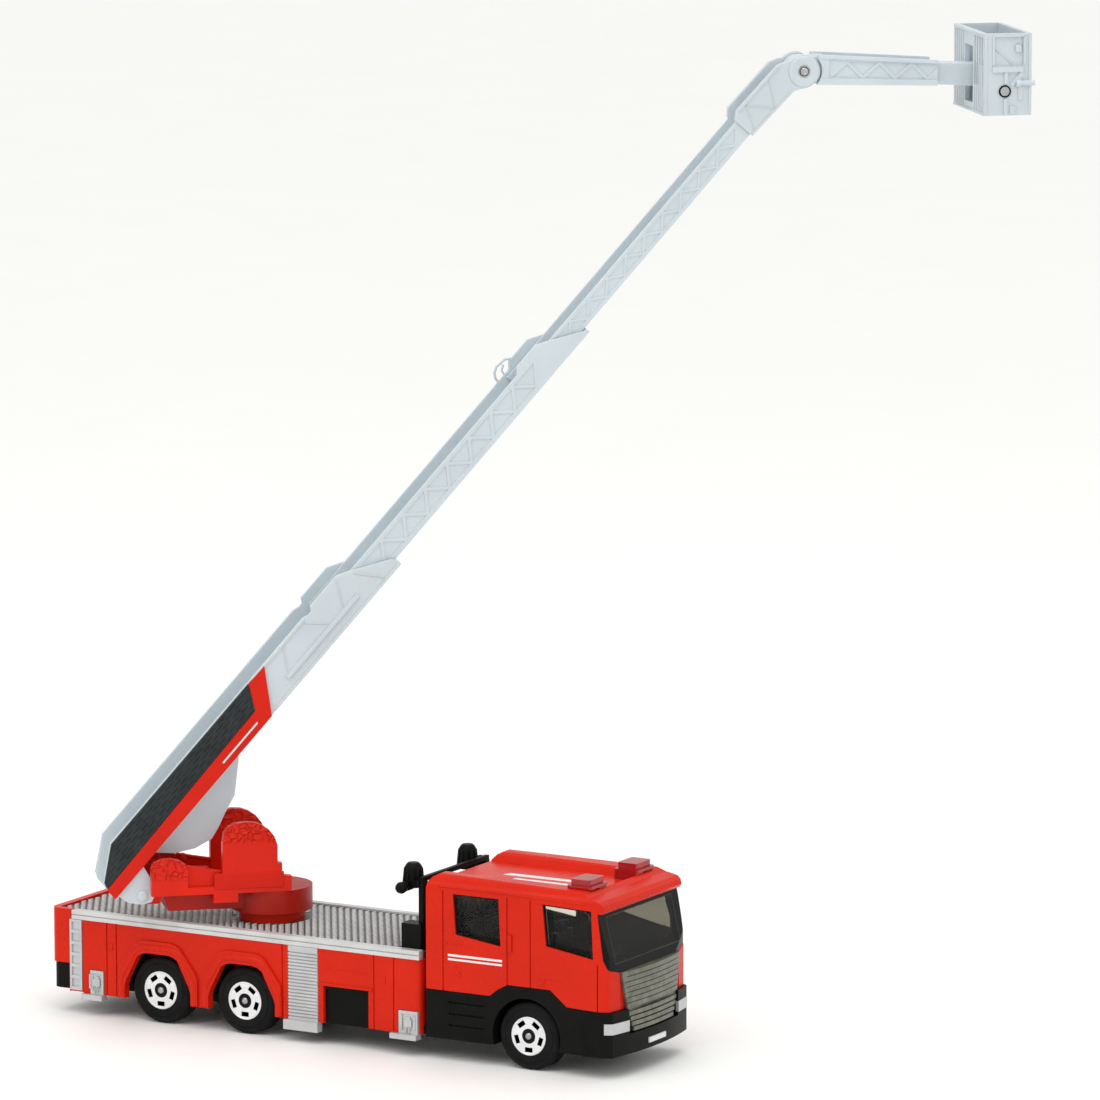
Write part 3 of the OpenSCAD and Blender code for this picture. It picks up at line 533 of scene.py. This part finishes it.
def table_details():
    p = Piece("table_panels", TABLE, "red_plastic", "turntable", 0.08)
    for _ in p.sides():
        # raised plinths at the feet of the tower, and the cable run between tower and console
        p.box(-11.5, 0.9, 6.9, 7.32, 25.2, 28.0)
        p.slab([(-16.3, 25.6), (-10, 25.6), (-10, 28.2), (-16.3, 29.2)], 5.95, 6.35)
        p.rod([(-16.2, 5.9, 29.3), (-13.4, 5.9, 28.7), (-10, 5.9, 28.1)], 0.3)
    p.done()


def ladder_details():
    p = Piece("base_ribs", LADDER, "ladder_grey", "lower_ladder", 0.05)
    for _ in p.sides():
        # edge flanges and four short ribs of the upper flank
        p.strip((41.5, 10.35), (55.3, 10.35), 0.45, 4.8, 5.12)
        p.strip((40.2, 3.75), (73.6, 3.75), 0.5, 4.8, 5.12)
        for foot, head in (((46.5, 6.6), (49.5, 10.1)), ((57.6, 6.5), (54.9, 9.9)),
                           ((61.5, 6.5), (64.3, 10.5)), ((70.2, 4.2), (67.2, 9.0))):
            p.strip(foot, head, 0.3, 4.82, 5.0)
        # boss round the elevation pin
        p.turned([(1.0, 4.8), (1.0, 5.05), (0.85, 5.2), (0.4, 5.3), (0.05, 5.32)], (0, 0, 0))
    for k in range(24):
        p.box(2 + k * 3, 2.7 + k * 3, -4.0, 4.0, 4.35, 4.5)
    p.done()
    p = Piece("guide_loop", LADDER, "ladder_grey", "middle_ladder", 0)
    p.rod([(109.4, 3.7, 9.2), (109.5, 3.75, 10.1), (110.1, 3.8, 10.9), (111.2, 3.8, 11.4),
           (113.2, 3.8, 11.1), (114.2, 3.7, 10.2)], 0.24)
    p.rod([(111.0, 3.75, 9.2), (111.3, 3.8, 10.2), (112.3, 3.8, 10.7)], 0.2)
    p.done(60)
    p = Piece("mid_rungs", LADDER, "ladder_grey", "middle_ladder", 0.03)
    for k in range(22):
        p.box(60 + k * 3, 60.6 + k * 3, -3.3, 3.3, 5.3, 5.44)
    p.done()
    p = Piece("top_rungs", LADDER, "ladder_grey", "upper_ladder", 0.05)
    for k in range(20):
        p.rod([(113 + k * 3, -2.7, 6.5), (113 + k * 3, 2.7, 6.5)], 0.28, 10)
    p.done()
    p = Piece("panel_lines", LADDER, "white_paint", "lower_ladder", 0)
    for _ in p.sides():
        p.slab([(27, 4.6), (36.2, 4.6), (36.4, 4.9), (27, 4.9)], 5.3, 5.4)
    p.done()


def elbow_details():
    p = Piece("elbow_boss", LADDER, "ladder_grey", "upper_ladder", 0.05)
    for _ in p.sides():
        p.turned([(2.75, 3.6), (2.75, 3.85), (2.6, 3.98), (1.2, 3.98), (1.02, 3.86), (1.02, 3.6)], ELBOW, 56)
        # edge flanges and faint ribs of the tip housing
        p.strip((172.8, 9.95), (183.2, 9.7), 0.4, 3.6, 3.88)
        p.strip((171.4, 5.35), (182, 4.85), 0.4, 3.6, 3.88)
        zigzag = ((172.2, 5.6), (174.4, 9.6), (177.4, 5.4), (180.4, 9.4))
        for foot, head in zip(zigzag, zigzag[1:]):
            p.strip(foot, head, 0.28, 3.62, 3.78)
    p.done()
    p = Piece("elbow_ring", LADDER, "black_plastic", "upper_ladder", 0)
    for _ in p.sides():
        p.turned([(0.84, 3.65), (0.84, 4.0), (0.72, 4.0), (0.72, 3.65)], ELBOW, 48)
    p.done()
    p = Piece("elbow_rivet", LADDER, "steel", "upper_ladder", 0)
    for _ in p.sides():
        p.turned([(0.71, 3.8), (0.71, 4.06), (0.6, 4.18), (0.4, 4.22), (0.24, 4.12), (0.05, 4.1)], ELBOW, 40)
    p.done()


def basket_details():
    p = Piece("basket_frame", BASKET, "ladder_grey", "rescue_basket", 0.05)
    for _ in p.sides():
        # bead round the sunk field, corner posts, and the small brackets
        for a, b in (((-2.1, 9.8), (3.7, 9.8)), ((-2.1, 4.6), (-2.1, 9.8)), ((3.6, 4.6), (3.6, 9.8))):
            p.strip(a, b, 0.35, 10.1, 10.42)
        p.box(-3.75, -3.25, 10.1, 10.38, -4.2, 10.1)
        p.box(4.3, 4.85, 10.1, 10.38, -4.2, 10.1)
        p.box(1.9, 3.0, 10.0, 10.35, 6.9, 8.2)
        p.box(2.4, 3.3, 10.1, 10.4, -1.6, 0.8)
        p.box(0.9, 2.0, 10.1, 10.4, -4.0, -2.6)
        p.strip((-1.7, 7.6), (1.4, 4.8), 0.25, 9.9, 10.1)
    # ribs down the rear wall beside the arm
    for k in range(5):
        p.box(-3.95, -3.75, -9.3 + k * 1.3, -8.9 + k * 1.3, -3.6, 4.6)
        p.box(-3.95, -3.75, 8.9 - k * 1.3, 9.3 - k * 1.3, -3.6, 9.6)
    p.box(-3.98, -3.75, -10.0, 10.0, 9.7, 10.15)
    p.box(-3.98, -3.75, -10.0, 10.0, -4.25, -3.8)
    p.done()
    p = Piece("basket_rings", BASKET, "black_plastic", "rescue_basket", 0)
    for _ in p.sides():
        p.turned([(1.09, 10.15), (1.09, 10.44), (0.82, 10.44), (0.82, 10.15)], (0, 0, 0), 40)
    p.done()


def wheel_details():
    for body, x in AXLES.items():
        p = Piece(body + "_ends", TRUCK, "steel", body, 0)
        for _ in p.sides():
            p.turned([(0.62, 13.0), (0.62, 13.25), (0.54, 13.42), (0.3, 13.52), (0.08, 13.54)], (x, 0, 6), 28)
        p.done(60)
        p = Piece(body + "_rims", TRUCK, "hub_paint", body, 0)
        for _ in p.sides():
            p.turned([(3.38, 13.15), (3.38, 13.27), (3.2, 13.33), (3.05, 13.27), (3.05, 13.15)],
                     (x, 0, 6), 56)
        p.done()


def locker_details():
    p = Piece("locker_handles", TRUCK, "silver_paint", "truck", 0.04)
    for _ in p.sides():
        for x, z in ((-12.9, 6.3), (51.4, 6.0)):
            p.box(x - 0.75, x + 0.75, 14.1, 14.4, z - 0.8, z + 0.5)
            p.box(x - 1.5, x - 1.15, 14.05, 14.35, z - 1.3, z + 1.3)
            p.box(x + 1.15, x + 1.5, 14.05, 14.35, z - 1.3, z + 1.3)
            p.rod([(x + dx, 14.4, z - dz) for dx, dz in ((-0.3, 0.9), (-0.3, 2.0), (0.3, 2.0), (0.3, 0.9))],
                  0.1, 8)
    p.done()
    p = Piece("arch_beads", TRUCK, "red_paint", "truck", 0)
    arch = [(7.6, 4.3), (7.6, 7.6), (7.25, 8.6), (4.45, 13.0), (3.55, 13.55), (2.45, 13.8)]
    for _ in p.sides():
        for axle in (AXLES["rear_wheelset"], AXLES["mid_wheelset"]):
            front = [(axle + x, 14.1, z) for x, z in arch]
            back = [(axle - x, 14.1, z) for x, z in reversed(arch)]
            p.rod(front + back, 0.65, 14)
    p.done(60)
    p = Piece("body_marks", TRUCK, "red_paint", "truck", 0.05)
    for _ in p.sides():
        for x in (46.3, -10.0):
            p.box(x - 0.5, x + 0.5, 13.95, 14.12, 12.3, 13.6)
        p.rod([(34, 13.98, 13.8), (43.5, 13.98, 13.8)], 0.08, 8)
        p.rod([(-15, 13.98, 16.6), (-12, 13.98, 16.6)], 0.08, 8)
    p.done()


deck_lozenges()
cab_details()
rest_details()
table_details()
ladder_details()
elbow_details()
basket_details()
wheel_details()
locker_details()

# ---------------------------------------------------------------- camera, lights, floor


def camera():
    turn, dip, roll = 0.52204469, 0.16142975, -0.00202897
    fwd = Vector((-math.sin(turn) * math.cos(dip), math.cos(turn) * math.cos(dip), -math.sin(dip)))
    right = Vector((math.cos(turn), math.sin(turn), 0))
    up = right.cross(fwd)
    x = math.cos(roll) * right + math.sin(roll) * up
    y = -math.sin(roll) * right + math.cos(roll) * up
    cam = bpy.data.objects.new("camera", bpy.data.cameras.new("camera"))
    m = Matrix((x, y, -fwd)).transposed().to_4x4()
    m.translation = Vector((0.703644, -1.176498, 0.305709))
    cam.matrix_world = m
    cam.data.sensor_width = 36
    cam.data.lens = 261.8
    cam.data.clip_start = 0.05
    cam.data.clip_end = 20
    bpy.context.collection.objects.link(cam)
    bpy.context.scene.camera = cam


def area_light(name, place, target, size, power):
    d = bpy.data.lights.new(name, "AREA")
    d.shape = "SQUARE"
    d.size = size
    d.energy = power
    o = bpy.data.objects.new(name, d)
    o.location = place
    o.rotation_mode = "QUATERNION"
    o.rotation_quaternion = (Vector(target) - Vector(place)).to_track_quat("-Z", "Y")
    bpy.context.collection.objects.link(o)


def studio():
    w = bpy.data.worlds.new("studio")
    w.use_nodes = True
    bg = next(n for n in w.node_tree.nodes if n.type == "BACKGROUND")
    bg.inputs["Color"].default_value = (1.0, 1.0, 0.985, 1)
    bg.inputs["Strength"].default_value = 0.745
    bpy.context.scene.world = w
    d = bpy.data.lights.new("sky", "SUN")
    d.energy = 1.05
    d.angle = math.radians(50)
    o = bpy.data.objects.new("sky", d)
    o.rotation_mode = "QUATERNION"
    o.rotation_quaternion = Vector((-0.15, 0.45, -1.0)).to_track_quat("-Z", "Y")
    bpy.context.collection.objects.link(o)
    area_light("strip", (-0.25, -0.55, 0.42), (0.0, 0.0, 0.05), 0.28, 0.6)
    area_light("front", (0.75, -0.25, 0.35), (0.0, 0.0, 0.03), 0.3, 0.55)
    area_light("top", (0.0, 0.15, 0.7), (0.0, 0.0, 0.03), 0.35, 0.7)
    bpy.context.scene.view_settings.view_transform = "Standard"


def floor():
    """a plain sheet of paper under the wheels"""
    bm = bmesh.new()
    n = 24
    z = at_z(0)
    grid = {}
    for i in range(n + 1):
        for j in range(n + 1):
            grid[i, j] = bm.verts.new((-2.5 + 5.0 * i / n, -2.5 + 6.0 * j / n, z))
    for i in range(n):
        for j in range(n):
            bm.faces.new((grid[i, j], grid[i + 1, j], grid[i + 1, j + 1], grid[i, j + 1]))
    me = bpy.data.meshes.new("floor")
    bm.to_mesh(me)
    bm.free()
    o = bpy.data.objects.new("floor", me)
    bpy.context.collection.objects.link(o)
    m = Mat("floor_paper").colour((0.93, 0.93, 0.915), 0.005, 30).rough(0.55, 0.6, 40)
    m.bump(m.noise(900, 2.0), 0.02, 0.0001)
    o.data.materials.append(m.m)


camera()
studio()
floor()
